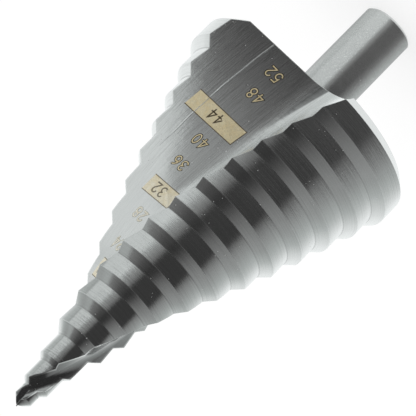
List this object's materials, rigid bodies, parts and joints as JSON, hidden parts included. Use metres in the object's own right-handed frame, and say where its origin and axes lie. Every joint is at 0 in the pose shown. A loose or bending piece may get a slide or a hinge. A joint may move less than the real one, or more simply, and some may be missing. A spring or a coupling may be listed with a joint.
{
  "type": "step drill bit",
  "caption": "Conical stepped drill bit with two wide spiral flutes, a split point and a plain round shank.",
  "frame": {"origin": "centre of the shank's end face, on which the drill stands", "axes": "+Z along the axis from the shank to the point, -Y out of the flute with the marked face"},
  "size_m": [0.052, 0.0518, 0.1088],
  "materials": {
    "ground_steel": "ground bright high speed steel, satin"
  },
  "bodies": {
    "root": {"step_drill": "ground_steel"}
  },
  "joints": []
}
